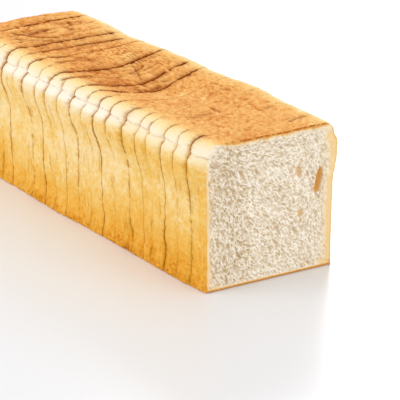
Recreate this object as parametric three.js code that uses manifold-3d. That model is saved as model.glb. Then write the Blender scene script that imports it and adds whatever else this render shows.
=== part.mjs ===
// A sliced tin loaf: twenty slices of a square, lidded-tin sandwich loaf that still stand together.
// Units are millimetres. +Z is up and +Y runs along the loaf, from the cut crumb face to the baked heel.
// Every slice is one closed solid between two knife cuts, and stands on its own flat underside.

import * as THREE from "three";
import { mergeVertices } from "three/addons/utils/BufferGeometryUtils.js";
import Module from "manifold-3d";

const { smoothstep } = THREE.MathUtils;

// --- driving dimensions -------------------------------------------------------------------------
const LOAF_WIDTH = 100;
const LOAF_HEIGHT = 100;
// Slice thicknesses from the cut face to the heel; hand-fed slicing leaves them uneven.
const SLICE_THICKNESSES = [
  18.5, 16, 15.5, 16, 12, 16, 20, 17, 15, 16, 16, 16, 15, 17, 16, 16, 14, 17, 17, 23.5,
];
const CUT_GAP = 0.5; // the least air between two slices
const BASE_CORNER = 2; // radius along the bottom edges, pressed into the tin
const SHOULDER_REACH = 10; // how far the upper shoulder roll reaches in over the top
const HEEL_CORNER = 5; // radius round the baked end

// Two soft rolls run along each shoulder, and a fold divides them.
const CREASE_HEIGHT = 92;
const CREASE_DEPTH = 1.2;
const CREASE_SPREAD = 1.2;
const ROLL_BULGE = 4.4; // the lower roll stands this far out from the wall
const ROLL_START = 56; // height where the wall starts to swell
const ROLL_CROWN = 86; // height where it stands out most
const UPPER_ROLL_SHARE = 0.4; // the upper roll stands out this much as far as the lower one

// Below the rolls the walls draw in a little.
const WAIST = { depth: 0.5, height: 30, spread: 18 };

// The open cut face has lost most of its left shoulder roll.
const WORN_LENGTH = 13;
const WORN_ROLL = 0.8;
const WORN_CORNER = 2.2;

// How the slices lean: the knife swung towards the heel behind the rolls, stayed a little behind over
// the top, and the feet of the slices have slid forward.
const ROLL_LEAN = { length: 5, height: 77, spread: 11 };
const TOP_LEAN = { length: 3, from: 70, to: 90 };
const FOOT_SLIDE = { length: 3, height: 35 };
const FIRST_LEANING_CUT = 3; // the slices nearest the cut face stand straight
const FULLY_LEANING_CUT = 6;

// Near the middle of the loaf the top has sunk, and the tops of the slices belly forward there.
const TOP_SAG = { depth: 5, y: 145, length: 50, x: -6, width: 32 };
const TOP_BOW = { length: 14, cut: 9.3, cuts: 3.6, x: -6, width: 34, from: 55 };

// The top domes a little towards the baked end.
const HEEL_DOME = { height: 1.6, from: 285, to: 320, x: 8, width: 26 };

// The right-hand top edge rises and falls along the loaf: where, over what length and how much.
const EDGE_SWELLS = [
  { y: 20, spread: 30, height: 0.8 },
  { y: 88, spread: 32, height: 3.2 },
  { y: 180, spread: 44, height: 2.4 },
  { y: 247, spread: 17, height: -1.4 },
  { y: 290, spread: 30, height: 1.2 },
];
const TOP_START = 60; // height from which the walls follow the rise and fall of the top

// Slices never stand quite in line; those two thirds of the way along stand out to the left.
const SLICE_SHIFT = 0.5;
const SLICE_LIFT = 0.45;
const SWAY = { distance: 1.6, slice: 11.5, slices: 2 };

// How far some cuts gape along the left shoulder and wall, by the number of the cut.
const GAPING_CUTS = { 1: 1.8, 3: 0.5, 6: 1.3, 8: 0.4, 10: 0.5, 12: 0.6, 14: 0.7, 16: 0.5 };
const WALL_GAPE_SHARE = 0.35; // down the wall they gape this much as far as at the shoulder

// Blind holes that large gas bubbles left in the cut face: centre, size and how deep they run.
const BUBBLES = [
  { x: 39, z: 61.5, width: 5.4, height: 17.4, depth: 11, tilt: 12 },
  { x: 24, z: 41, width: 3.4, height: 5.6, depth: 2.2, tilt: 20 },
  { x: 22.5, z: 70, width: 3.6, height: 8, depth: 1.6, tilt: -14 },
];
const BUBBLE_OVERHANG = 0.5; // a bubble starts this far outside the face, so that it cuts cleanly

// The rings of points that a slice's skin is stretched over.
const CUT_EDGE_WIDTH = 2.2; // width of the soft edge beside a cut
const CUT_EDGE_DROP = 0.7; // how far the crust draws in at that edge
const FRESH_EDGE_DROP = 0.3; // the open cut face has kept a crisper edge
const FACE_RING_SHARES = [0.72]; // rings inside a cut face, as shares of the section
const HEEL_STEP = 0.3; // the middle ring of the rounded heel, as a share of its radius

const HALF_WIDTH = LOAF_WIDTH / 2;
const MID_HEIGHT = LOAF_HEIGHT / 2;
const SLICE_COUNT = SLICE_THICKNESSES.length;
const CUTS = SLICE_THICKNESSES.reduce((cuts, thickness) => [...cuts, cuts.at(-1) + thickness], [0]);

// --- the shape of the whole loaf ----------------------------------------------------------------
const bell = (value, middle, spread) => Math.exp(-(((value - middle) / spread) ** 2));

// The outline of the tin's cross-section, counter-clockwise from the bottom left, as {x, y: height}.
function sectionOutline() {
  const foot = HALF_WIDTH - BASE_CORNER;
  const lid = HALF_WIDTH - SHOULDER_REACH;
  const rise = LOAF_HEIGHT - CREASE_HEIGHT;
  const line = (x0, z0, x1, z1) =>
    new THREE.LineCurve(new THREE.Vector2(x0, z0), new THREE.Vector2(x1, z1));
  const arc = (x, z, rx, rz, from) =>
    new THREE.EllipseCurve(x, z, rx, rz, from, from + Math.PI / 2);
  const even = (t) => t;
  const closerAtStart = (t) => t ** 1.7;
  const closerAtEnd = (t) => 1 - closerAtStart(1 - t);
  const stretches = [
    [line(-foot, 0, foot, 0), 4, even],
    [arc(foot, BASE_CORNER, BASE_CORNER, BASE_CORNER, -Math.PI / 2), 2, even],
    [line(HALF_WIDTH, BASE_CORNER, HALF_WIDTH, CREASE_HEIGHT), 9, closerAtEnd],
    [arc(lid, CREASE_HEIGHT, SHOULDER_REACH, rise, 0), 4, even],
    [line(lid, LOAF_HEIGHT, -lid, LOAF_HEIGHT), 8, even],
    [arc(-lid, CREASE_HEIGHT, SHOULDER_REACH, rise, Math.PI / 2), 4, even],
    [line(-HALF_WIDTH, CREASE_HEIGHT, -HALF_WIDTH, BASE_CORNER), 9, closerAtStart],
    [arc(-foot, BASE_CORNER, BASE_CORNER, BASE_CORNER, Math.PI), 2, even],
  ];
  return stretches.flatMap(([curve, steps, easing]) =>
    Array.from({ length: steps }, (_, step) => curve.getPoint(easing(step / steps))),
  );
}

// How far the side wall stands out of the tin's straight wall at height z, y mm from the cut face.
function wallOffset(side, z, y) {
  const worn = side < 0 ? 1 - smoothstep(y, 0, WORN_LENGTH) : 0;
  const easing = (1 - UPPER_ROLL_SHARE) * smoothstep(z, ROLL_CROWN, CREASE_HEIGHT);
  const roll = ROLL_BULGE * smoothstep(z, ROLL_START, ROLL_CROWN) * (1 - easing);
  const crease = CREASE_DEPTH * bell(z, CREASE_HEIGHT, CREASE_SPREAD);
  const waist = WAIST.depth * bell(z, WAIST.height, WAIST.spread);
  const corner = WORN_CORNER * worn * smoothstep(z, CREASE_HEIGHT, LOAF_HEIGHT);
  return roll * (1 - WORN_ROLL * worn) - crease - waist - corner;
}

// How far the top lies above the straight lid.
function lidOffset(x, y) {
  const swell = EDGE_SWELLS.reduce((sum, s) => sum + s.height * bell(y, s.y, s.spread), 0);
  const sag = TOP_SAG.depth * bell(y, TOP_SAG.y, TOP_SAG.length) * bell(x, TOP_SAG.x, TOP_SAG.width);
  const heelward = smoothstep(y, HEEL_DOME.from, HEEL_DOME.to);
  const dome = HEEL_DOME.height * heelward * bell(x, HEEL_DOME.x, HEEL_DOME.width);
  return swell * smoothstep(x, 0, HALF_WIDTH) + dome - sag;
}

// How much a height change of the top still counts at height z.
const topShare = (z) => smoothstep(z, TOP_START, LOAF_HEIGHT);

// A point of the loaf's skin, for a point of the section outline and a distance from the cut face.
function skinPoint(point, y) {
  const side = Math.sign(point.x);
  const atWall = smoothstep(Math.abs(point.x), HALF_WIDTH - SHOULDER_REACH, HALF_WIDTH);
  const x = point.x + side * wallOffset(side, point.y, y) * atWall;
  const z = point.y + lidOffset(point.x, y) * topShare(point.y);
  return { x, z };
}

// Where a slice puts that point: each stands a little to one side, its top a little high or low.
function settle({ x, z }, slice) {
  const sway = SWAY.distance * bell(slice, SWAY.slice, SWAY.slices);
  const shift = SLICE_SHIFT * Math.sin(3.9 * slice - 1.1) - sway;
  const lift = SLICE_LIFT * (Math.sin(2.7 * slice + 1.1) + 0.6 * Math.sin(5.1 * slice));
  return { x: x + shift, z: z + lift * topShare(z) };
}

// Where the knife went: the distance from the cut face of cut number k, at x across and z up.
function cutDistance(k, x, z) {
  if (k === 0 || k === SLICE_COUNT) return CUTS[k];
  const leaning = smoothstep(k, FIRST_LEANING_CUT, FULLY_LEANING_CUT);
  const nearWall = Math.min(1, Math.abs(x) / HALF_WIDTH) ** 2;
  const behindRoll = ROLL_LEAN.length * bell(z, ROLL_LEAN.height, ROLL_LEAN.spread) * nearWall;
  const overTop = TOP_LEAN.length * smoothstep(z, TOP_LEAN.from, TOP_LEAN.to);
  const foot = FOOT_SLIDE.length * (1 - smoothstep(z, 0, FOOT_SLIDE.height));
  const high = smoothstep(z, TOP_BOW.from, LOAF_HEIGHT);
  const belly = bell(k, TOP_BOW.cut, TOP_BOW.cuts) * bell(x, TOP_BOW.x, TOP_BOW.width);
  const wander = 0.5 * Math.sin(0.07 * z + 1.9 * k) + 0.4 * Math.sin(0.06 * x + 2.6 * k);
  return CUTS[k] + leaning * (behindRoll + overTop - foot) - TOP_BOW.length * belly * high + wander;
}

// Half the air in cut number k; some cuts gape on the left shoulder and wall.
function halfGap(k, x, z) {
  if (k === 0 || k === SLICE_COUNT) return 0;
  const atShoulder = smoothstep(z, ROLL_START, ROLL_CROWN);
  const upward = WALL_GAPE_SHARE + (1 - WALL_GAPE_SHARE) * atShoulder;
  const gape = (GAPING_CUTS[k] ?? 0) * smoothstep(-x, 0, HALF_WIDTH) * upward;
  return (CUT_GAP + gape) / 2;
}

// --- one slice ----------------------------------------------------------------------------------
// Each ring says how far it lies in from the slice's front or back cut, and how far it draws in there.
const frontRings = (drop) => [
  { atBack: false, depth: 0, drop },
  { atBack: false, depth: CUT_EDGE_WIDTH, drop: 0 },
];
const backRings = [
  { atBack: true, depth: CUT_EDGE_WIDTH, drop: 0 },
  { atBack: true, depth: 0, drop: CUT_EDGE_DROP },
];
const heelRings = [
  { atBack: true, depth: HEEL_CORNER, drop: 0 },
  { atBack: true, depth: HEEL_CORNER * HEEL_STEP, drop: HEEL_CORNER * HEEL_STEP },
  { atBack: true, depth: 0, drop: HEEL_CORNER },
];

function sliceRings(slice) {
  const front = frontRings(slice === 0 ? FRESH_EDGE_DROP : CUT_EDGE_DROP);
  const back = slice === SLICE_COUNT - 1 ? heelRings : backRings;
  return [...front, ...back];
}

function sliceGeometry(slice, outline) {
  const rings = sliceRings(slice);
  const positions = [];
  const triangles = [];
  const addPoint = ({ x, z }, ring) => {
    const k = ring.atBack ? slice + 1 : slice;
    const inward = ring.atBack ? -1 : 1;
    const y = cutDistance(k, x, z) + inward * (halfGap(k, x, z) + ring.depth);
    return positions.push(x, y, z) / 3 - 1;
  };
  const shrink = ({ x, z }, share) => ({
    x: x * share,
    z: MID_HEIGHT + (z - MID_HEIGHT) * share,
  });
  const skinAt = (point, ring) => skinPoint(point, CUTS[ring.atBack ? slice + 1 : slice]);
  const addSkinLoop = (ring) => {
    const share = 1 - ring.drop / HALF_WIDTH;
    return outline.map((point) => addPoint(shrink(settle(skinAt(point, ring), slice), share), ring));
  };
  const addFaceLoop = (ring, share) =>
    outline.map((point) => addPoint(shrink(skinAt(point, ring), share), ring));
  // Both faces of a cut are split along the same diagonals, so that they stay evenly apart.
  const join = (near, far, onBackFace) =>
    near.forEach((a, i) => {
      const next = (i + 1) % near.length;
      if (onBackFace) triangles.push(a, far[i], near[next], near[next], far[i], far[next]);
      else triangles.push(a, far[next], near[next], a, far[i], far[next]);
    });
  const front = rings[0];
  const back = rings.at(-1);
  const loops = [
    ...FACE_RING_SHARES.toReversed().map((share) => addFaceLoop(front, share)),
    ...rings.map(addSkinLoop),
    ...FACE_RING_SHARES.map((share) => addFaceLoop(back, share)),
  ];
  const backFaceStart = loops.length - FACE_RING_SHARES.length;
  loops.slice(1).forEach((loop, i) => join(loops[i], loop, i + 1 >= backFaceStart));
  const frontCentre = addPoint({ x: 0, z: MID_HEIGHT }, front);
  const backCentre = addPoint({ x: 0, z: MID_HEIGHT }, back);
  outline.forEach((_, i) => {
    const next = (i + 1) % outline.length;
    triangles.push(frontCentre, loops[0][i], loops[0][next]);
    triangles.push(backCentre, loops.at(-1)[next], loops.at(-1)[i]);
  });
  const geometry = new THREE.BufferGeometry();
  geometry.setAttribute("position", new THREE.Float32BufferAttribute(positions, 3));
  return geometry.setIndex(triangles);
}

// --- bubbles in the cut face --------------------------------------------------------------------
const wasm = await Module();
wasm.setup();

function toSolid(geometry) {
  const bare = geometry.clone();
  bare.deleteAttribute("normal");
  bare.deleteAttribute("uv");
  const merged = mergeVertices(bare);
  return new wasm.Manifold(
    new wasm.Mesh({
      numProp: 3,
      vertProperties: merged.attributes.position.array,
      triVerts: new Uint32Array(merged.index.array),
    }),
  );
}

function toGeometry(solid) {
  const mesh = solid.getMesh();
  const geometry = new THREE.BufferGeometry();
  geometry.setAttribute("position", new THREE.BufferAttribute(mesh.vertProperties, 3));
  return geometry.setIndex(new THREE.BufferAttribute(mesh.triVerts, 1));
}

function bubbleGeometry({ x, z, width, height, depth, tilt }) {
  return new THREE.SphereGeometry(1, 12, 8)
    .scale(width / 2, depth, height / 2)
    .rotateY(THREE.MathUtils.degToRad(tilt))
    .translate(x, -BUBBLE_OVERHANG, z);
}

function withBubbles(geometry) {
  const solid = BUBBLES.reduce(
    (bread, bubble) => bread.subtract(toSolid(bubbleGeometry(bubble))),
    toSolid(geometry),
  );
  return toGeometry(solid);
}

// --- the loaf -----------------------------------------------------------------------------------
const crust = new THREE.MeshStandardMaterial({ color: 0xf2b866, roughness: 0.7, metalness: 0 });
const crumb = new THREE.MeshStandardMaterial({ color: 0xf0e4cc, roughness: 0.9, metalness: 0 });

const loaf = new THREE.Group();
const outline = sectionOutline();
for (let slice = 0; slice < SLICE_COUNT; slice += 1) {
  const plain = sliceGeometry(slice, outline);
  const geometry = slice === 0 ? withBubbles(plain) : plain;
  const mesh = new THREE.Mesh(geometry, slice === 0 ? crumb : crust);
  mesh.name = `slice_${String(slice + 1).padStart(2, "0")}`;
  loaf.add(mesh);
}

// The origin is under the middle of the loaf's box, on the surface that it stands on.
const box = new THREE.Box3().setFromObject(loaf);
const middle = box.getCenter(new THREE.Vector3());
loaf.position.set(-middle.x, -middle.y, -box.min.z);

export default loaf;
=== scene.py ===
import math

import bmesh
import bpy
import numpy as np
from mathutils import Matrix


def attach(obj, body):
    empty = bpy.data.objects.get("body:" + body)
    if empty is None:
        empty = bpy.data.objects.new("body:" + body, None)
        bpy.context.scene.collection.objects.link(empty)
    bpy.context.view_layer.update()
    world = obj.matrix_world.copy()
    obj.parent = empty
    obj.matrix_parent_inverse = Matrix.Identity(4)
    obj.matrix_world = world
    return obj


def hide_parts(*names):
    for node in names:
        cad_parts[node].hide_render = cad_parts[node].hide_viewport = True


# A sliced tin loaf. Every slice starts as a drum whose wall is cut into rows and whose ends are ringed,
# and is then pressed to the tin's square section, rolled at the shoulders and wrinkled on top.
# Shapes are worked out in millimetres with the cut face at y = 0 and the middle of the section at x = 0.

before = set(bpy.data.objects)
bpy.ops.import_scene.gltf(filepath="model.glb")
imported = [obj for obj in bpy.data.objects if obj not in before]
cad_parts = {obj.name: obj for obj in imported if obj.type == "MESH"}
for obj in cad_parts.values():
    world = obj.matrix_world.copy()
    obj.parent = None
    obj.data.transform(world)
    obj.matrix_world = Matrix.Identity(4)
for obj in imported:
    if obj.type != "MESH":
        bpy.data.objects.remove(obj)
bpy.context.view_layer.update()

MM = 0.001
FRAME_SHIFT = np.array([0.7225, -164.75, 0.0])  # from the loaf's own millimetres to the middle of its box

# --- the tin and the slices, in millimetres ------------------------------------------------------
WIDTH = 100.0
HEIGHT = 100.0
THICKNESSES = [18.5, 16, 15.5, 16, 12, 16, 20, 17, 15, 16, 16, 16, 15, 17, 16, 16, 14, 17, 17, 23.5]
CUTS = np.concatenate([[0.0], np.cumsum(THICKNESSES)])
SLICES = len(THICKNESSES)
HALF = WIDTH / 2
MID_HEIGHT = HEIGHT / 2
BASE_CORNER = 0.7  # radius of the toe along the foot
SHOULDER_REACH = 10.0  # how far in from the wall a shoulder's upper roll reaches
CREASE_HEIGHT = 92.0  # of the crease between a shoulder's two rolls
CREASE_DEPTH = 1.0
CREASE_SPREAD = 0.7
ROLL_BULGE = 4.4  # how far the lower roll stands out from the wall
ROLL_START = 56.0
ROLL_CROWN = 86.0
UPPER_ROLL_SHARE = 0.4  # what is left of that bulge at the upper roll
WAIST = (0.5, 30.0, 18.0)  # depth, height, spread
FOOT_FLARE = (2.0, 16.0)  # how far the foot has slumped outwards, and to which height
WORN_LENGTH = 13.0  # how far behind the open face the left shoulder is worn
WORN_ROLL = 0.8  # how much of its lower roll is gone there
WORN_CORNER = 2.2  # how far the upper roll has drawn in there
TOP_START = 60.0  # the height from which a slice takes part in the swells and lifts of the lid side
HEEL_CORNER = 5.0
HEEL_TURN_ROWS = 10  # rows of the wall that round the heel's corner
HEEL_DISH = (0.5, 0.5)  # how far the heel's end sinks in, and how much that varies
# Swells of the lid side towards its right edge: y, spread, height.
EDGE_SWELLS = [(20, 30, 0.8), (88, 32, 3.2), (180, 44, 2.4), (247, 17, -1.4), (290, 30, 1.2)]
TOP_SAG = dict(depth=5.0, y=145.0, length=50.0, x=-6.0, width=32.0)
HEEL_DOME = dict(height=1.6, start=285.0, end=320.0, x=8.0, width=26.0)
SLICE_SHIFT = 0.15  # how far the slices stand out of line sideways
SLICE_LIFT = 0.12  # and upwards
SWAY = (1.6, 194.0, 33.0)  # distance, y, length
ROLL_LEAN = (5.0, 77.0, 11.0)  # length, height, spread
TOP_LEAN = (3.0, 70.0, 90.0)  # length, from, to
FOOT_SLIDE = (3.0, 35.0)  # length, height
LEANING_CUTS = (3, 6)  # the cuts over which the lean comes in
TOP_BOW = dict(length=14.0, cut=9.3, cuts=3.6, x=-6.0, width=34.0, start=55.0)
GAPING_CUTS = {1: 1.8, 3: 0.5, 6: 1.3, 8: 0.4, 10: 0.5, 12: 0.6, 14: 0.7, 16: 0.5}  # at the left shoulder
WALL_GAPE_SHARE = 0.35  # of that, lower down the wall
CLOSED_GAP = 0.04  # the air in a cut that has stayed shut

# How far each cut has opened: across the top, then on the wall at the heights of OPEN_HEIGHTS.
OPEN_HEIGHTS = (12.0, 36.0, 62.0, 84.0)
OPEN_CUTS = {
    1: (0.05, 0.55, 0.60, 0.90, 1.00),
    2: (0.00, 0.20, 0.15, 0.35, 0.45),
    3: (0.00, 0.95, 0.20, 0.10, 0.60),
    4: (0.00, 0.60, 0.15, 0.08, 0.45),
    5: (0.00, 0.15, 0.10, 0.15, 0.55),
    6: (0.05, 0.75, 0.35, 1.00, 1.00),
    7: (0.00, 0.35, 0.40, 0.25, 0.75),
    8: (0.00, 0.85, 0.40, 0.34, 0.62),
    9: (0.70, 0.15, 0.25, 0.12, 0.50),
    10: (1.00, 0.50, 0.35, 0.45, 0.80),
    11: (0.25, 0.20, 0.20, 0.10, 0.40),
    12: (1.00, 0.30, 0.15, 0.35, 0.95),
    13: (0.00, 0.50, 0.40, 0.20, 0.40),
    14: (0.00, 0.60, 0.55, 0.70, 0.95),
    15: (0.95, 0.20, 0.10, 0.15, 0.50),
    16: (0.95, 0.25, 0.30, 0.30, 0.90),
    17: (0.25, 0.60, 0.50, 0.25, 0.45),
    18: (0.30, 0.30, 0.20, 0.20, 0.50),
    19: (0.60, 0.30, 0.20, 0.20, 0.50),
}

# --- how finely the slices are cut up --------------------------------------------------------------
AROUND = 800  # points round a slice, 0.5 mm apart
FACE_CELLS = 240  # cells across the open crumb face, 0.4 mm wide
EDGE_ROWS = [0.0, 0.15, 0.4, 0.8, 1.4, 2.2]  # distances of the first rows from a cut, closer at its lip
ROWS = 27
# Rings of a hidden cut face, as shares of its half width.
FACE_RINGS = [0.985, 0.96, 0.92, 0.84, 0.7, 0.5, 0.25]
LIP = 2.2  # how far from a cut its rounded lip starts
TURN_STEPS = 192000  # steps in a turn, a multiple of both counts of points round a slice
OUTERMOST = 0.9999  # a share of the way out, from which on a point lies on the skin itself
WELD_DISTANCE = 0.00001  # metres
TINY = 1e-9
LEVEL = 0.9  # a face whose normal rises more than this is an end of the drum

rng = np.random.default_rng(41)
LATTICE = rng.uniform(-1.0, 1.0, (256, 256))


def smooth(value, low, high):
    t = np.clip((np.asarray(value, float) - low) / (high - low), 0.0, 1.0)
    return t * t * (3.0 - 2.0 * t)


def bell(value, middle, spread):
    return np.exp(-(((value - middle) / spread) ** 2))


def noise(a, b, kind=0):
    """Smooth noise between -1 and 1 with a grain one unit wide; kind picks another part of the lattice."""
    a = np.asarray(a, float) + 37.31 * kind
    b = np.asarray(b, float) + 71.77 * kind
    ia, ib = np.floor(a).astype(int), np.floor(b).astype(int)
    wa, wb = a - ia, b - ib
    wa, wb = wa * wa * (3 - 2 * wa), wb * wb * (3 - 2 * wb)

    def corner(i, j):
        return LATTICE[(ia + i) % len(LATTICE), (ib + j) % len(LATTICE)]

    near = corner(0, 0) * (1 - wa) + corner(1, 0) * wa
    far = corner(0, 1) * (1 - wa) + corner(1, 1) * wa
    return near * (1 - wb) + far * wb


# --- the section of the tin --------------------------------------------------------------------------
def section_table():
    """The section's outline from the middle of the right wall, counter-clockwise: share round it, x and z.
    Each of the eight stretches between the middles of the sides and the corners takes one eighth."""
    quarter = np.linspace(0, math.pi / 2, 61)
    lid, rise, foot = HALF - SHOULDER_REACH, HEIGHT - CREASE_HEIGHT, HALF - BASE_CORNER
    shoulder = np.stack([lid + SHOULDER_REACH * np.cos(quarter), CREASE_HEIGHT + rise * np.sin(quarter)], 1)
    toe = np.stack([foot + BASE_CORNER * np.sin(quarter), BASE_CORNER - BASE_CORNER * np.cos(quarter)], 1)
    wall = np.stack([np.full(200, HALF), np.linspace(BASE_CORNER, CREASE_HEIGHT, 200)], 1)
    right = np.concatenate([toe, wall[1:-1], shoulder])
    stretch = np.stack([np.linspace(-1, 1, 200), np.ones(200)], 1)
    top = (stretch * [-lid, HEIGHT])[1:-1]
    base = (stretch * [foot, 0])[1:-1]
    left = (right * [-1, 1])[::-1]
    ring = np.concatenate([right, top, left, base, right[:1]])
    step = np.concatenate([[0], np.cumsum(np.hypot(*np.diff(ring, axis=0).T))])

    def at(x, z):
        return step[np.argmin(np.hypot(ring[:-1, 0] - x, ring[:-1, 1] - z))]

    reach45, rise45, toe45 = (r * math.sqrt(0.5) for r in (SHOULDER_REACH, rise, BASE_CORNER))
    corners = [
        at(foot + toe45, BASE_CORNER - toe45),
        at(lid + reach45, CREASE_HEIGHT + rise45),
        at(-lid - reach45, CREASE_HEIGHT + rise45),
        at(-foot - toe45, BASE_CORNER - toe45),
    ]
    corners.append(corners[0] + step[-1])
    share = np.interp(step, corners, [-0.125, 0.125, 0.375, 0.625, 0.875])
    early = step < corners[0]
    share[early] = 0.875 + (step[early] + step[-1] - corners[3]) / (corners[4] - corners[3]) * 0.25 - 0.25
    order = np.argsort(np.mod(share[:-1], 1.0))
    return np.mod(share[:-1], 1.0)[order], ring[:-1][order]


SHARE, RING = section_table()


def section_point(u):
    """x and z of the bare section at the share u round it."""
    return np.interp(u, SHARE, RING[:, 0], period=1.0), np.interp(u, SHARE, RING[:, 1], period=1.0)


def section_normal(u):
    """The outward direction of the bare section there."""
    x0, z0 = section_point(u - 0.002)
    x1, z1 = section_point(u + 0.002)
    length = np.hypot(x1 - x0, z1 - z0)
    return (z1 - z0) / length, -(x1 - x0) / length


# --- the shape the tin, the oven and the knife gave ------------------------------------------------------
def wall_offset(side, z, y, index):
    """How far the wall stands out at the height z: rolls, waist, foot and crease."""
    worn = np.where(side < 0, 1 - smooth(y, 0, WORN_LENGTH), 0.0)
    easing = (1 - UPPER_ROLL_SHARE) * smooth(z, ROLL_CROWN, CREASE_HEIGHT)
    roll = ROLL_BULGE * smooth(z, ROLL_START, ROLL_CROWN) * (1 - easing)
    waist = WAIST[0] * bell(z, WAIST[1], WAIST[2])
    corner = WORN_CORNER * worn * smooth(z, CREASE_HEIGHT, HEIGHT)
    flare = FOOT_FLARE[0] * smooth(z, FOOT_FLARE[1], 0) * smooth(y, 0, 30)
    crease = CREASE_DEPTH * crease_share(side, z, y, index, CREASE_SPREAD)
    return roll * (1 - WORN_ROLL * worn) + flare - crease - waist - corner


def crease_share(side, z, y, index, spread):
    """The crease between the two rolls of a shoulder: it wanders, has deeper nicks and steps at every cut."""
    height = CREASE_HEIGHT + 0.7 * noise(y / 8.0, 2.0 * side, 21) + 0.8 * np.sin(4.3 * index + 2.0 * side)
    nicks = np.clip(0.6 + 0.8 * noise(y / 5.0, 3.3 * side, 22) + 0.4 * noise(y / 1.8, side, 49), 0.1, 1.4)
    return nicks * bell(z, height, spread)


def lid_offset(x, y):
    """How far the lid side stands above the tin's flat lid."""
    swell = sum(height * bell(y, at, spread) for at, spread, height in EDGE_SWELLS)
    sag = TOP_SAG["depth"] * bell(y, TOP_SAG["y"], TOP_SAG["length"])
    sag = sag * bell(x, TOP_SAG["x"], TOP_SAG["width"])
    heelward = smooth(y, HEEL_DOME["start"], HEEL_DOME["end"])
    dome = HEEL_DOME["height"] * heelward * bell(x, HEEL_DOME["x"], HEEL_DOME["width"])
    return swell * smooth(x, 0, HALF) + dome - sag


def top_share(z):
    return smooth(z, TOP_START, HEIGHT)


def skin_point(x, z, y, index):
    side = np.sign(x)
    at_wall = smooth(np.abs(x), HALF - SHOULDER_REACH, HALF)
    return x + side * wall_offset(side, z, y, index) * at_wall, z + lid_offset(x, y) * top_share(z)


def settle(x, z, y, index):
    """The slices stand slightly out of line, and the loaf sways to the left in the middle."""
    shift = SLICE_SHIFT * math.sin(3.9 * index - 1.1) - SWAY[0] * bell(y, SWAY[1], SWAY[2])
    lift = SLICE_LIFT * (math.sin(2.7 * index + 1.1) + 0.6 * math.sin(5.1 * index))
    return x + shift, z + lift * float(smooth(index, 2, 9)) * top_share(z)


def cut_distance(k, x, z):
    """y of cut k at x across and z up: the cuts lean, bow over the lid side and are torn."""
    if k in (0, SLICES):
        return np.full_like(x, CUTS[k])
    leaning = smooth(k, *LEANING_CUTS)
    near_wall = np.minimum(1, np.abs(x) / HALF) ** 2
    behind_roll = ROLL_LEAN[0] * bell(z, ROLL_LEAN[1], ROLL_LEAN[2]) * near_wall
    over_top = TOP_LEAN[0] * smooth(z, TOP_LEAN[1], TOP_LEAN[2])
    foot = FOOT_SLIDE[0] * (1 - smooth(z, 0, FOOT_SLIDE[1]))
    high = smooth(z, TOP_BOW["start"], HEIGHT)
    belly = bell(k, TOP_BOW["cut"], TOP_BOW["cuts"]) * bell(x, TOP_BOW["x"], TOP_BOW["width"])
    wander = 0.5 * np.sin(0.07 * z + 1.9 * k) + 0.4 * np.sin(0.06 * x + 2.6 * k)
    torn = 1.0 * noise(x / 11, z / 11 + 9 * k, 5) + 0.5 * noise(x / 3.6, z / 3.6 + 5 * k, 6)
    torn = torn + 0.25 * noise(x / 1.4, z / 1.4 + 3 * k, 26)
    bowed = TOP_BOW["length"] * belly * high
    return CUTS[k] + leaning * (behind_roll + over_top - foot) - bowed + wander + torn


def openness(k, x, z):
    """How far cut k has opened at x across and z up, from 0 to 1. The right side is closed tighter."""
    if k in (0, SLICES):
        return np.zeros_like(x)
    top, *heights = OPEN_CUTS[k]
    wall = np.interp(z, OPEN_HEIGHTS, heights)
    amount = top + (wall - top) * np.where(z < 88, 1.0, smooth(np.abs(x), 34, 45))
    away = np.where(x > 0, 0.25 + 0.75 * smooth(x, 43, 34), 1.0)
    torn = 1 - 0.6 * smooth(z, 72, 82) * smooth(np.abs(x), 38, 46)
    ragged = 0.85 + torn * (0.75 * noise(x / 9 + 3 * k, z / 9, 8) + 0.6 * noise(x / 2.4, z / 2.4 + 7 * k, 23))
    return np.clip(amount * away * ragged, 0, 1)


def gape(k, x, z):
    """How many millimetres cut k stands open: most at the left shoulder."""
    at_shoulder = smooth(z, ROLL_START, ROLL_CROWN)
    upward = WALL_GAPE_SHARE + (1 - WALL_GAPE_SHARE) * at_shoulder
    return GAPING_CUTS.get(k, 0.0) * smooth(-x, 0, HALF) * upward


def crevice(k, x, z, distance):
    """How far painted golden brown shade from cut k reaches over the skin, at a distance from it."""
    if k in (0, SLICES):
        return np.zeros_like(x)
    opened, lid = openness(k, x, z), on_lid(x, z)
    frayed = 1 + 0.7 * noise(x / 1.1, z / 1.3 + 4 * k, 38)
    reach = (0.5 + 1.0 * opened**2 + lid * (0.4 + 0.9 * opened**2) + 0.2 * gape(k, x, z)) * frayed
    return np.minimum(1, 1.6 * opened) * np.exp(-distance / reach)


def on_lid(x, z):
    return smooth(z, 84, 92) * smooth(HALF - np.abs(x), 4, 14)


def on_roll(x, z):
    """The two rolls along each shoulder, where the dough pressed into the tin's corner and stayed pale."""
    return smooth(z, 78, 86) * smooth(np.abs(x), 36, 44)


def half_gap(k, x, z, share):
    """Half the air in cut k. It is a wedge: the cut closes two millimetres under the skin."""
    if k in (0, SLICES):
        return np.zeros_like(x)
    wedge = 0.08 + 0.92 * smooth(share, 0.955, 1.0)
    opened = openness(k, x, z)
    air = 0.03 * opened + (0.04 + 0.16 * on_lid(x, z)) * opened**2 + 0.12 * gape(k, x, z)
    return (CLOSED_GAP + air * wedge) / 2


# --- the surface of the crust ------------------------------------------------------------------------
PIT_COUNT = 620
# The x, y, radius and depth of each burst bubble in the lid side.
PITS = np.stack(
    [
        rng.uniform(-42, 46, PIT_COUNT),
        rng.uniform(0, 329, PIT_COUNT),
        rng.uniform(0.5, 1.3, PIT_COUNT),
        rng.uniform(0.25, 1.0, PIT_COUNT) ** 1.5,
    ],
    1,
)
SCORE_COUNT = 240
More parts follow.
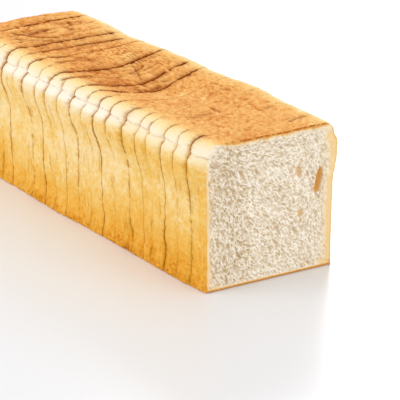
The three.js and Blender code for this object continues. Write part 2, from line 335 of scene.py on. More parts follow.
# The side, y, z, half width, half length and depth of each short crease in the walls.
SCORES = np.stack(
    [
        rng.choice([-1.0, 1.0], SCORE_COUNT),
        rng.uniform(2, 327, SCORE_COUNT),
        rng.uniform(3, 80, SCORE_COUNT),
        rng.uniform(0.6, 1.0, SCORE_COUNT),
        rng.uniform(2.0, 8.0, SCORE_COUNT),
        rng.uniform(0.2, 1.0, SCORE_COUNT) ** 1.5,
    ],
    1,
)
# The x, y and radius of each speck of flour on the lid side.
FLOUR = [(6.5, 94, 1.1), (18, 145, 0.8), (2, 117, 0.8), (22, 63, 0.7), (32, 45, 0.6), (42, 28, 0.6)]

CREEP = math.radians(58)  # the way that the dough crept along the lid, from the width of the loaf

# Long creases of the lid side: the points along one, half its width, its depth.
WRINKLES = [
    ([(-24, 294), (-19, 285), (-13, 276), (-3, 269)], 1.6, 1.0),
    ([(-29, 279), (-20, 268), (-9, 263)], 1.4, 0.7),
    ([(-16, 286), (-5, 290), (2, 290)], 1.5, 0.9),
    ([(24, 297), (22, 291)], 1.6, 1.0),
    ([(16, 285), (17, 282)], 1.8, 0.9),
    ([(10, 181), (7, 171), (0, 154)], 1.0, 0.8),
    ([(0, 170), (7, 171), (16, 177)], 1.0, 0.7),
    ([(-46, 179), (-39, 176.5), (-27, 175)], 1.3, 0.9),
    ([(-15, 138), (-8, 133), (3, 137)], 1.6, 1.0),
    ([(26, 93), (28, 90)], 1.2, 0.7),
    ([(9, 142), (12, 141)], 1.4, 0.7),
    ([(-1, 67), (-2, 58)], 1.1, 0.8),
    ([(-27, 57), (-19, 55), (-8, 58)], 1.2, 0.5),
    ([(22, 45), (33, 47)], 1.0, 0.6),
    ([(25, 14), (30, 16), (39, 17)], 0.9, 0.6),
    ([(-21, 35), (-19, 32)], 1.3, 0.4),
    ([(-34, 227), (-17, 221), (-6, 205)], 1.2, 0.5),
    ([(-34, 213), (-14, 211), (-6, 198)], 1.2, 0.4),
]


def valley(height):
    """The valleys along the zero line of a noise: 1 at the bottom, 0 on the flanks."""
    return np.clip(1 - 1.7 * np.abs(height), 0, 1) ** 1.5


def pits(x, y):
    """Burst bubbles in the lid side, drawn out along the loaf: their depth."""
    dip = np.zeros_like(x)
    for px, py, radius, depth in PITS:
        close = np.abs(y - py) < 4.5 * radius
        if close.any():
            rho = ((x[close] - px) / radius) ** 2 + ((y[close] - py) / (2.0 * radius)) ** 2
            dip[close] = np.maximum(dip[close], depth * np.exp(-(rho**1.5)))
    return dip


def scores(x, y, z):
    """Short upright creases in the walls, from 0 to 1."""
    found = np.zeros_like(x)
    for side, sy, sz, width, length, depth in SCORES:
        close = (np.abs(y - sy) < 2.5 * width) & (np.abs(z - sz) < 2 * length) & (x * side > 0)
        if close.any():
            bend = sy + 0.5 * np.sin(z[close] / 3.0 + sz) + 0.5 * noise(z[close] / 2.3, sy, 36)
            rho = ((y[close] - bend) / width) ** 2 + ((z[close] - sz) / length) ** 4
            found[close] = np.maximum(found[close], depth * np.exp(-rho))
    return found


def wrinkles(x, y):
    """The long creases of the lid side, from 0 to 1."""
    number = np.interp(y, CUTS, np.arange(SLICES + 1))
    bow = TOP_BOW["length"] * bell(number, TOP_BOW["cut"], TOP_BOW["cuts"])
    bowed = y - bow * bell(x, TOP_BOW["x"], TOP_BOW["width"])
    ragged = 1 + 0.5 * noise(x / 1.6, y / 3.0, 43)
    found = np.zeros_like(x)
    for points, width, depth in WRINKLES:
        for (ax, ay), (bx, by) in zip(points, points[1:]):
            length = math.hypot(bx - ax, by - ay)
            along = np.clip(((x - ax) * (bx - ax) + (bowed - ay) * (by - ay)) / length**2, 0, 1)
            away = np.hypot(x - ax - along * (bx - ax), 0.5 * (bowed - ay - along * (by - ay)))
            found = np.maximum(found, depth * np.exp(-((away / width) ** 2)) * ragged)
    return np.clip(found, 0, 1)


def top_relief(x, y):
    """The lid side's wrinkles and pits: their height in millimetres, a painted shade that is darker in their
    hollows and lighter on their raised grain, and how far painted brown shade fills their pits, creases and
    deepest valleys. The fine grain is drawn out slantwise, as the dough crept along the lid."""
    drawn = x * math.cos(CREEP) + y * math.sin(CREEP)
    beside = y * math.cos(CREEP) - x * math.sin(CREEP)
    far = (0.25 + 0.75 * smooth(y, 120, 200)) * smooth(HALF - np.abs(x), 9, 20)
    warp = y + 5.0 * noise(x / 20, y / 19, 1) + 2.0 * noise(x / 7, y / 9, 2)
    broad = far * valley(noise(x / 22, warp / 8.0, 3))
    fine = far * valley(noise(x / 11, warp / 3.6, 4))
    strand = valley(noise(x / 2.5 + 0.5 * noise(x / 9, y / 9, 34), warp / 6.0, 27))
    bent = 1.5 * noise(x / 12, y / 15, 51)
    scales = np.sin(1.75 * x + 0.35 * y + bent) * np.sin(0.75 * y - 0.35 * x + bent)
    ripple = bell(x, 22, 20) * bell(y, 205, 34) * scales
    lumps = noise(x / 6.5, y / 12.0, 7)
    grit = noise(drawn / 3.4, beside / 1.7, 9)
    peel = noise(drawn / 2.0, beside / 1.0, 28)
    dip = pits(x, y)
    crease = wrinkles(x, y)
    rise = 0.2 - 0.35 * broad - 0.3 * fine - 0.15 * strand + 0.15 * lumps + 0.2 * grit + 0.08 * peel
    rise = rise + 0.35 * ripple - 0.5 * dip - 0.8 * crease
    shade = 0.05 * broad + 0.10 * fine + 0.10 * strand - 0.12 * grit - 0.09 * peel
    shade = shade - 0.20 * ripple + 0.10 * dip
    return rise, shade, np.clip(0.3 * dip + 0.9 * crease + 0.5 * fine * broad, 0, 1)


def wall_relief(x, y, z):
    """The walls' flaky grain and upright creases: their height in millimetres; a painted shade that is
    lighter on the raised grain, flakes and dents and darker along the strands, together with burnt patches
    near the foot; and how far painted brown shade fills the creases, together with scorched specks near the
    foot."""
    side = np.sign(x) * 40.0
    grain = noise(y / 1.7 + side, z / 1.5, 11)
    flakes = noise(y / 3.6 + side, z / 3.4, 35)
    strands = valley(noise(y / 5.5 + side + 0.9 * noise(y / 9, z / 8, 12), z / 12, 13))
    dents = noise(y / 8 + side, z / 9, 14)
    scored = scores(x, y, z)
    scorched = np.maximum(noise(y / 1.8 + side, z / 1.3, 42) - 0.3, 0) * smooth(z, 12, 1)
    rise = 0.08 * grain + 0.10 * flakes + 0.14 * dents - 0.05 * strands - 0.4 * scored
    rise = rise + 0.5 * noise(y / 3.0 + side, z / 9, 44) * smooth(z, 10, 2)
    burnt = 0.08 * noise(y / 2.4 + side, z / 2, 41) * smooth(z, 16, 3)
    shade = 0.03 * strands - 0.06 * grain - 0.06 * flakes - 0.05 * dents + burnt
    return rise, shade, np.clip(0.6 * scored + 0.9 * scorched, 0, 1)


# Browning by height on a wall, and by distance in from the wall on the lid side: 0 pale cream, 1 dark brown.
WALL_TONES = [(0, 0.80), (2, 0.78), (5, 0.74), (13, 0.66), (21, 0.58), (29, 0.50), (37, 0.43), (57, 0.34)]
WALL_TONES += [(66, 0.40), (76, 0.48), (81, 0.42), (85, 0.30), (89, 0.13), (94, 0.05), (100, 0.03)]
NEAR_LID_TONES = [(0, 0.06), (5, 0.17), (8, 0.28), (10, 0.34), (15, 0.38), (25, 0.42), (50, 0.43)]
FAR_LID_TONES = [(0, 0.28), (5, 0.18), (10, 0.32), (15, 0.37), (25, 0.42), (50, 0.43)]


def browning(x, z, y):
    """How brown the bare skin baked."""
    farther = smooth(y, 85, 135)
    fresh = 0.09 * smooth(y, 22, 6) * bell(z, 45, 28)
    paler = farther * (0.07 + 0.10 * smooth(z, 60, 78))
    blotches = 0.06 * noise(y / 24, z / 30, 17) * smooth(z, 84, 70)
    wall = np.interp(z, *zip(*WALL_TONES)) + blotches + fresh - paler
    inward = HALF - np.abs(x) + 1.5 * noise(y / 11, np.sign(x), 24)
    lid = np.where(x < 0, np.interp(inward, *zip(*NEAR_LID_TONES)), np.interp(inward, *zip(*FAR_LID_TONES)))
    sunk = 0.10 * bell(x, -17, 17) * bell(y, 165, 70)
    lid = lid + (0.06 * noise(x / 16, y / 22, 18) + 0.04 - 0.02 * farther + sunk) * smooth(inward, 6, 18)
    return wall + (lid - wall) * smooth(z, 90, 96)


def heel_browning(x, z):
    """How brown the end of the loaf baked, against the end of the tin: more so towards the foot."""
    return 0.44 + 0.16 * smooth(z, 40, 4) - 0.12 * smooth(z, 76, 94) + 0.08 * noise(x / 18, z / 18, 52)


def flour(x, y):
    """Specks of flour left on the lid side."""
    found = np.zeros_like(x)
    for fx, fy, radius in FLOUR:
        found = np.maximum(found, np.exp(-(((x - fx) / radius) ** 2) - ((y - fy) / (2 * radius)) ** 2))
    return found


# --- shaping a slice ----------------------------------------------------------------------------------
def pick_faces(drum, wanted):
    """Selects the wanted faces of the drum that is being edited."""
    bpy.ops.mesh.select_mode(type="FACE")
    bpy.ops.mesh.select_all(action="DESELECT")
    mesh = bmesh.from_edit_mesh(drum.data)
    for face in mesh.faces:
        face.select_set(wanted(face))
    bmesh.update_edit_mesh(drum.data)


def new_drum(name, around, rows):
    """A drum two metres wide and high: its wall cut into rows, its ends ringed towards their middles."""
    bpy.ops.object.select_all(action="DESELECT")
    bpy.ops.mesh.primitive_cylinder_add(vertices=around, radius=1.0, depth=2.0, end_fill_type="NGON")
    drum = bpy.context.object
    drum.name = name
    bpy.ops.object.mode_set(mode="EDIT")
    bpy.ops.mesh.select_mode(type="EDGE")
    bpy.ops.mesh.select_all(action="DESELECT")
    mesh = bmesh.from_edit_mesh(drum.data)
    for edge in mesh.edges:
        edge.select_set(abs(edge.verts[0].co.z - edge.verts[1].co.z) > 1.0)
    bmesh.update_edit_mesh(drum.data)
    bpy.ops.mesh.subdivide(number_cuts=rows - 1)
    pick_faces(drum, lambda face: abs(face.normal.z) > LEVEL)
    for outer, inner in zip([1.0] + FACE_RINGS, FACE_RINGS):
        bpy.ops.mesh.inset(thickness=outer - inner)
    bpy.ops.mesh.poke()
    bpy.ops.object.mode_set(mode="OBJECT")
    return drum


def read_points(mesh):
    points = np.empty(len(mesh.vertices) * 3, np.float32)
    mesh.vertices.foreach_get("co", points)
    return points.reshape(-1, 3).astype(float)


def write_points(mesh, points):
    mesh.vertices.foreach_set("co", points.astype(np.float32).ravel())
    mesh.update()


def write_value(mesh, name, values):
    layer = mesh.attributes.new(name, "FLOAT", "POINT")
    layer.data.foreach_set("value", values.astype(np.float32))


def row_depths(index):
    """For each row of a slice's wall: its distance behind the front cut, and how far the heel's rounding
    draws it in."""
    thick = THICKNESSES[index]
    edge = np.array(EDGE_ROWS)
    heel = index == SLICES - 1
    if heel:
        turn = np.linspace(0, math.pi / 2, HEEL_TURN_ROWS)
        back = HEEL_CORNER * (1 - np.sin(turn))
        rounding = HEEL_CORNER * (1 - np.cos(turn))
        middle = np.linspace(edge[-1], thick - HEEL_CORNER, ROWS + 1 - len(edge) - len(turn) + 2)
        depth = np.concatenate([edge, middle[1:-1], thick - back])
        drop = np.concatenate([np.zeros(ROWS + 1 - len(turn)), rounding])
        return depth, drop
    middle = np.linspace(edge[-1], thick - edge[-1], ROWS + 1 - 2 * len(edge) + 2)
    return np.concatenate([edge, middle[1:-1], (thick - edge)[::-1]]), np.zeros(ROWS + 1)


def lip_drop(k, x, z, distance, behind):
    """How far the skin draws in at the lip of cut k, at a distance from the cut. The knife pressed down the
    lip in front of the cut, so the one behind it stands proud and shows a ragged edge."""
    if k == SLICES:
        return np.zeros_like(x)
    if k == 0:
        most, reach = 0.35 + 0.25 * noise(x / 1.3, z / 1.3, 45), LIP
    else:
        opened, lid = openness(k, x, z), on_lid(x, z)
        shoulder = smooth(z, 74, 84) * (1 - lid)
        crumbled = noise(x / 1.1, z / 1.1 + 5 * k, 29)
        bitten = noise(x / 1.4, z / 1.4 + 5 * k, 33)
        pressed = 0.05 + (0.5 + 0.15 * shoulder + 1.0 * lid) * opened * (1 + 0.6 * crumbled)
        proud = 0.05 + (0.1 + 0.35 * shoulder + 0.25 * lid) * opened * (1 + 1.5 * np.maximum(bitten, 0))
        most = np.where(behind, proud, pressed)
        reach = LIP + (0.6 * shoulder + 1.8 * lid) * opened
    t = np.clip(1 - distance / reach, 0, 1)
    return most * (1 - np.sqrt(1 - t * t))


def shape(points, index):
    """Presses a drum's points to a slice: their places in millimetres, and the materials' values."""
    turn = np.arctan2(points[:, 1], points[:, 0]) / (2 * math.pi)
    u = np.mod(np.round(turn * TURN_STEPS) / TURN_STEPS, 1.0)
    share = np.hypot(points[:, 0], points[:, 1])
    share = np.where(share > OUTERMOST, 1.0, share)
    row = np.round((1.0 - points[:, 2]) / 2 * ROWS).astype(int)
    return press(u, share, row, index)


def press(u, share, row, index):
    """Places and values for points at the share u round the slice, at a share of the way out from its
    middle, in a row of its wall."""
    depths, heel_drops = row_depths(index)
    thick = THICKNESSES[index]
    depth = depths[row]
    y_flat = CUTS[index] + depth
    x0, z0 = section_point(u)
    nx, nz = section_normal(u)
    x, z = skin_point(x0, z0, y_flat, index)
    lid = smooth(z0, 94.5, 99.5)
    wall = smooth(z0, 90, 80) * smooth(z0, 0.0, 0.6)
    roll = smooth(z0, 72, 86) * (1 - lid)
    rise_top, shade_top, dark_top = top_relief(x0, y_flat)
    rise_wall, wall_shade_and_burn, wall_shade_and_scorch = wall_relief(x0, y_flat, z0)
    across = np.abs(2 * depth / thick - 1)
    pillow = -1.3 * across**4 + 0.25 * noise(y_flat / 6, u * 60, 15) + 0.12 * noise(y_flat / 2.2, u * 170, 16)
    scallop = -0.6 * across**4 * smooth(z0, 30, 2)
    relief = lid * rise_top + wall * (rise_wall + scallop) + roll * pillow
    lips = lip_drop(index, x, z, depth, behind=True) + lip_drop(index + 1, x, z, thick - depth, behind=False)
    at_cut = np.exp(-np.minimum(depth + 99 * (index == 0), thick - depth) / 1.5)
    nick = 0.8 * at_cut * bell(z0, CREASE_HEIGHT, 1.8) * smooth(np.abs(x0), 40, 48)
    inward = lips + nick - relief
    rounded = 1 - heel_drops[row] / HALF
    x = (x - nx * inward) * rounded
    z = MID_HEIGHT + (z - nz * inward - MID_HEIGHT) * rounded
    z = np.maximum(z, 0.0)
    x, z = settle(x, z, y_flat, index)
    x = x * share
    z = MID_HEIGHT + (z - MID_HEIGHT) * share
    y_front = cut_distance(index, x, z) + half_gap(index, x, z, share)
    y_back = cut_distance(index + 1, x, z) - half_gap(index + 1, x, z, share)
    y = y_front + (y_back - y_front) * depth / thick
    rim = (1 - share) * HALF
    heel = (index == SLICES - 1) & (row == ROWS)
    y = y - heel * (HEEL_DISH[0] + HEEL_DISH[1] * noise(x / 17, z / 15, 53)) * smooth(rim, 0, 9)
    skin = np.where(heel, smooth(rim, 7, 0), 1.0)
    lid = lid * skin
    cracked = np.maximum(crevice(index, x, z, depth), crevice(index + 1, x, z, thick - depth))
    cracked = cracked * smooth(rim, 8, 2)
    frayed = 0.6 + 0.5 * noise(y_flat / 1.7, z0 / 1.2, 46)
    creased = crease_share(np.sign(x0), z0, y_flat, index, 0.5) * smooth(np.abs(x0), 30, 45) * frayed
    # Painted brown shade in the cuts, in the crease between the rolls, in the lid's pits and wrinkles and in
    # the walls' creases; the scorched specks near the foot are the crust's own colour.
    dark = np.maximum(np.maximum(cracked, 0.5 * creased), lid * dark_top + wall * wall_shade_and_scorch) * skin
    shade_top = shade_top * smooth(HALF - np.abs(x0), 6, 18)
    # Painted shade: darker in the hollows of the relief and lighter on its raised grain, and darker on the
    # rolls towards each cut.
    tone = browning(x0, z0, y_flat) + lid * shade_top + wall * wall_shade_and_burn + 0.07 * roll * at_cut
    tone = heel_browning(x, z) + (tone - heel_browning(x, z)) * skin
    shows = (index == 0) & (row == 0)
    # Painted shade: the hidden cut faces take the toast colours far deeper in than the crust reaches, so that
    # the cuts look brown.
    hidden_toast_and_shade = smooth(rim, 14, 5) * (0.8 + 0.2 * lid - 0.3 * on_roll(x0, z0))
    values = {
        "lid": lid,
        "tone": tone - 0.4 * lid * flour(x0, y_flat),
        "toast_and_painted_light": np.where(shows, toast_and_painted_light(x0, z0, rim), hidden_toast_and_shade),
        "crevice": np.clip(dark, 0, 1) * (1 - shows),
    }
    return np.stack([x, y, z], 1), values


def toast_and_painted_light(x, z, rim):
    """How far the crust has coloured the crumb, at a distance in from the skin that lies at x and z. The wide
    band along the right edge is partly a painted glow of light through the crumb, and the widest step of the
    band along the left edge is painted shade.
    """
    uneven = rim + 0.9 * noise(x / 5, z / 5, 31) + 0.4 * noise(x / 1.6, z / 1.6, 32)
    crust = rim + 0.4 * noise(x / 1.3, z / 1.3, 47) + 0.4 * noise(x / 5, z / 5, 48)
    spotted = smooth(noise(x / 1.2, z / 1.2, 50), -0.9, 0.3) * smooth(rim, 1.7, 0.7)
    baked = 0.36 * spotted + 0.4 * smooth(crust, 3.2, 1.8) + 0.3 * smooth(uneven, 6.0, 1.5)
    top = smooth(z, 90, 98) * smooth(x, 49, 42) * smooth(-x, 46, 30) * baked
    # Partly the crust's own colour, partly a painted glow: this band reaches well in from the right edge.
    far = 0.16 * smooth(uneven, 13, 5) + 0.26 * smooth(uneven, 7, 3) + 0.15 * smooth(rim, 1.2, 0.2)
    right = smooth(x, 36, 46) * smooth(z, 101, 95) * far
    # The step that reaches sixteen millimetres in from the left edge is painted shade; the rest is the
    # crust's own colour.
    near = 0.07 * smooth(uneven, 16, 4) + 0.08 * smooth(uneven, 6, 3) + 0.33 * smooth(uneven, 3.6, 0.4)
    left = smooth(-x, 32, 46) * near * (1 - 0.75 * smooth(z, 80, 91))
    base = smooth(z, 8, 1) * 0.8 * smooth(rim, 2.2, 0.6)
    return np.maximum(np.maximum(top, right), np.maximum(left, base))


def bake_slice(name, index, drum):
    """A slice from a copy of the drum."""
    piece = drum.copy()
    piece.data = drum.data.copy()
    piece.name = name
    piece.data.name = name
    bpy.context.collection.objects.link(piece)
    points = read_points(piece.data)
    placed, values = shape(points, index)
    finish_piece(piece, points, placed, values, index)
    return piece


def finish_piece(piece, blank, placed, values, index):
    """Moves a blank's points to their places. Its cut faces take the crumb, and the rest takes the crust."""
    mesh = piece.data
    corner_counts = np.empty(len(mesh.polygons), int)
    mesh.polygons.foreach_get("loop_total", corner_counts)
    starts = np.empty(len(mesh.polygons), int)
    mesh.polygons.foreach_get("loop_start", starts)
    corners = np.empty(len(mesh.loops), int)
    mesh.loops.foreach_get("vertex_index", corners)
    ends = np.abs(blank[:, 2]) > OUTERMOST
    on_face = np.add.reduceat(ends[corners].astype(int), starts) == corner_counts
    material = on_face.astype(int)
    if index == SLICES - 1:
        at_back = blank[corners[starts], 2] < 0
        material = (on_face & ~at_back).astype(int)
    write_points(mesh, (placed + FRAME_SHIFT) * MM)
    mesh.materials.append(CRUST)
    mesh.materials.append(CRUMB)
    mesh.polygons.foreach_set("material_index", material)
    mesh.polygons.foreach_set("use_smooth", np.ones(len(mesh.polygons), bool))
    for key, value in values.items():
        write_value(mesh, key, value)


# --- the open crumb face ------------------------------------------------------------------------------
# The x, z, width, height, depth and tilt in degrees of each big gas bubble.
BUBBLES = [
    (38.5, 61.5, 5.8, 17.8, 6.0, 12.0),
    (24.0, 41.0, 4.2, 6.6, 2.4, 20.0),
    (22.5, 70.0, 4.2, 9.0, 2.4, -14.0),
]
PORE_PITCH = 1.5
PORE_STRAY = 0.8  # how far a pore lies from its place in the grid, as a share of the pitch
PORE_WIDTH = (0.44, 0.38)  # half the width of the middling pore, and its spread
PORE_WIDTH_LIMITS = (0.26, 1.2)
PORE_STRETCH = (1.3, 3.2)  # how much longer than wide
PORE_TURN = 0.25  # how far the pores turn from the strands, in radians
PORE_STRENGTH = (0.35, 1.0)  # how dark they are
CRUMB_INSET = 0.12  # how far the crumb lies behind the skin's lip
LEAN = math.radians(137)  # the way that the crumb's strands run, from the width of the loaf
PRESSED = (25.0, 78.0)  # beyond this far out and above this height the strands turn along the tin
TURNING = (0.9, 1.4)  # how strongly they turn along the walls and along the lid


def strand_places(x, z):
    """Places along and across the crumb's strands. They lean to the left, as the dough rose, and turn along
    the tin's walls and lid, where the cells were pressed flat."""
    along = x * math.cos(LEAN) + z * math.sin(LEAN)
    across = x * math.sin(LEAN) - z * math.cos(LEAN)
    sideways = TURNING[0] * np.maximum(np.abs(x) - PRESSED[0], 0) * np.sign(x)
    return along, across + sideways + TURNING[1] * np.maximum(z - PRESSED[1], 0)


def strand_angle(x, z):
    """The direction of the strands at x and z."""
    slope_x = math.sin(LEAN) + TURNING[0] * (np.abs(x) > PRESSED[0])
    slope_z = -math.cos(LEAN) + TURNING[1] * (z > PRESSED[1])
    return np.arctan2(slope_z, slope_x) + math.pi / 2


def crumb_pores(x, z):
    """The crumb's pores at each point of the cut face: their depth, and the painted shade in them from 0 to
    1.
    """
    depth = np.zeros_like(x)
    shade = np.zeros_like(x)
    columns = np.arange(-49, 50, PORE_PITCH)
    rows = np.arange(1, 100, PORE_PITCH)
    middle_x, middle_z = (g.ravel() for g in np.meshgrid(columns, rows))
    count = len(middle_x)
    middle_x = middle_x + rng.uniform(-PORE_STRAY, PORE_STRAY, count) * PORE_PITCH
    middle_z = middle_z + rng.uniform(-PORE_STRAY, PORE_STRAY, count) * PORE_PITCH
    small = np.clip(rng.lognormal(math.log(PORE_WIDTH[0]), PORE_WIDTH[1], count), *PORE_WIDTH_LIMITS)
    long = small * rng.uniform(*PORE_STRETCH, count)
    angle = strand_angle(middle_x, middle_z) + rng.normal(0, PORE_TURN, count)
    strength = rng.uniform(*PORE_STRENGTH, count)
    order = np.argsort(x)
    sorted_x = x[order]
    for i in range(count):
        low, high = np.searchsorted(sorted_x, [middle_x[i] - long[i], middle_x[i] + long[i]])
        near = order[low:high]
        near = near[np.abs(z[near] - middle_z[i]) < long[i]]
        dx, dz = x[near] - middle_x[i], z[near] - middle_z[i]
        c, s = math.cos(angle[i]), math.sin(angle[i])
        rho = ((dx * c + dz * s) / long[i]) ** 2 + ((dz * c - dx * s) / small[i]) ** 2
        bowl = np.sqrt(np.clip(1 - rho, 0, 1))
        depth[near] = np.maximum(depth[near], bowl * small[i])
        shade[near] = np.maximum(shade[near], bowl * strength[i])
    return depth, shade


def crumb_bubbles(x, z):
    """Depth of the big gas bubbles, and how far a point is inside one, which sets the painted shade there."""
    depth = np.zeros_like(x)
    inside = np.zeros_like(x)
    for bx, bz, wide, high, deep, tilt in BUBBLES:
        c, s = math.cos(math.radians(tilt)), math.sin(math.radians(tilt))
        across = ((x - bx) * c - (z - bz) * s) / (wide / 2)
        along = ((x - bx) * s + (z - bz) * c) / (high / 2)
        rho = np.hypot(across, along)
        bowl = np.sqrt(np.clip(1 - rho**2.5, 0, 1))
        depth = np.maximum(depth, deep * bowl)
        inside = np.maximum(inside, smooth(1.08 - rho, 0, 0.16) * min(1.0, deep / 6))
    return depth, inside


def open_face(drum):
    """The first slice: a fine sheet with the crumb's pores pressed in is welded to the front of its wall."""
    bpy.ops.object.select_all(action="DESELECT")
    bpy.context.view_layer.objects.active = drum
    drum.select_set(True)
    bpy.ops.object.mode_set(mode="EDIT")
    pick_faces(drum, lambda face: face.normal.z > LEVEL)
    bpy.ops.mesh.delete(type="FACE")
    bpy.ops.object.mode_set(mode="OBJECT")
    bpy.ops.object.select_all(action="DESELECT")
    bpy.ops.mesh.primitive_grid_add(x_subdivisions=FACE_CELLS, y_subdivisions=FACE_CELLS, size=2.0)
    sheet = bpy.context.object
    flat = read_points(sheet.data)
    a, b = flat[:, 0], flat[:, 1]
    share = np.maximum(np.abs(a), np.abs(b))
    wide = np.abs(a) >= np.abs(b)
    along = np.where(wide, b * np.sign(a), -a * np.sign(b)) / np.maximum(share, TINY)
    along = np.round(along * FACE_CELLS * 60) / (FACE_CELLS * 60)
    sides = [wide & (a > 0), ~wide & (b > 0), a < TINY - np.abs(b)]
    base = np.select(sides, [0.0, 0.25, 0.5], 0.75)
    u = np.mod(base + along / 8, 1.0)
    share = np.where(share > OUTERMOST, 1.0, share)
    placed, values = press(u, share, np.zeros(len(u), int), 0)
    x, z = placed[:, 0], placed[:, 2]
    rim = (1 - share) * HALF
    dense = smooth(rim, 0.8, 3.0) * (1 - 0.45 * smooth(x, 36, 44) * smooth(rim, 7.0, 3.5))
    dense = dense * (1 - 0.7 * bell(np.hypot(x + 47, z - 97), 0, 8))
    pores, shade = crumb_pores(x, z)
    bubbles, inside = crumb_bubbles(x, z)
    along, across = strand_places(x, z)
    streaks = 0.12 * noise(across / 2.0 + 0.5 * noise(x / 9, z / 12, 37), along / 11, 30)
    # Painted shade: the crumb and its pores darker towards the left of the face; the streaks are the crumb's
    # own grain.
    shade = shade * (0.95 + 0.40 * smooth(-x, 8, 40)) + streaks + 0.16 * smooth(-x, 4, 34)
    waves = (0.25 * noise(x / 14, z / 14, 19) + 0.10 * noise(x / 4, z / 4, 20)) * smooth(rim, 0, 3)
    placed[:, 1] += np.maximum(pores * dense, bubbles) + waves + CRUMB_INSET
    placed[:, 1] -= CRUMB_INSET * (1 - smooth(rim, 0, 1.0))
    # Painted shade also darkens the slopes of the bubbles.
    values["crumb_shade_and_grain"] = np.clip(np.maximum(shade * dense, 0.4 * bubbles * (1 - inside)), 0, 1)
    values["bubble_shade"] = inside
    values["along"] = along
    values["across"] = across
    points = read_points(drum.data)
    wall_placed, wall_values = shape(points, 0)
    for key in ("crumb_shade_and_grain", "bubble_shade", "along", "across"):
        wall_values[key] = np.zeros(len(points))
    finish_piece(drum, points, wall_placed, wall_values, 0)
    sheet_points = np.column_stack([flat[:, :2], np.ones(len(flat))])
    finish_piece(sheet, sheet_points, placed, values, 0)
    bpy.ops.object.select_all(action="DESELECT")
    sheet.select_set(True)
    drum.select_set(True)
    bpy.context.view_layer.objects.active = drum
    bpy.ops.object.join()
    bpy.ops.object.mode_set(mode="EDIT")
    bpy.ops.mesh.select_all(action="SELECT")
    bpy.ops.mesh.remove_doubles(threshold=WELD_DISTANCE)
    bpy.ops.object.mode_set(mode="OBJECT")
    return drum


# --- materials ------------------------------------------------------------------------------------------
def linear(hex_code):
    """A linear colour from an sRGB hex value."""
    channels = [int(hex_code[i : i + 2], 16) / 255 for i in (1, 3, 5)]
    return [c / 12.92 if c <= 0.04045 else ((c + 0.055) / 1.055) ** 2.4 for c in channels] + [1.0]


def add_node(tree, kind, inputs=None, stops=(), **settings):
    """Adds a node with its settings. An input takes a value, or the socket that it is linked from."""
    node = tree.nodes.new(kind)
    for key, value in settings.items():
        setattr(node, key, value)
    for key, value in (inputs or {}).items():
        if isinstance(value, bpy.types.NodeSocket):
            tree.links.new(value, node.inputs[key])
        else:
            node.inputs[key].default_value = value
    for step, (position, colour) in enumerate(stops):
        elements = node.color_ramp.elements
        element = elements[step] if step < 2 else elements.new(position)
        element.position = position
        element.color = linear(colour)
    return node


def new_material(name, **finish):
    """A material of one shader, with the values of its own sockets."""
    material = bpy.data.materials.new(name)
    material.use_nodes = True
    tree = material.node_tree
    tree.nodes.clear()
    sockets = {key.replace("_", " "): value for key, value in finish.items()}
    shader = add_node(tree, "ShaderNodeBsdfPrincipled", sockets)
    add_node(tree, "ShaderNodeOutputMaterial", {"Surface": shader.outputs[0]})
    return material, tree, shader


def per_metre(grain_mm):
    """The scale of a texture whose grain is so many millimetres wide."""
    return 1000.0 / grain_mm


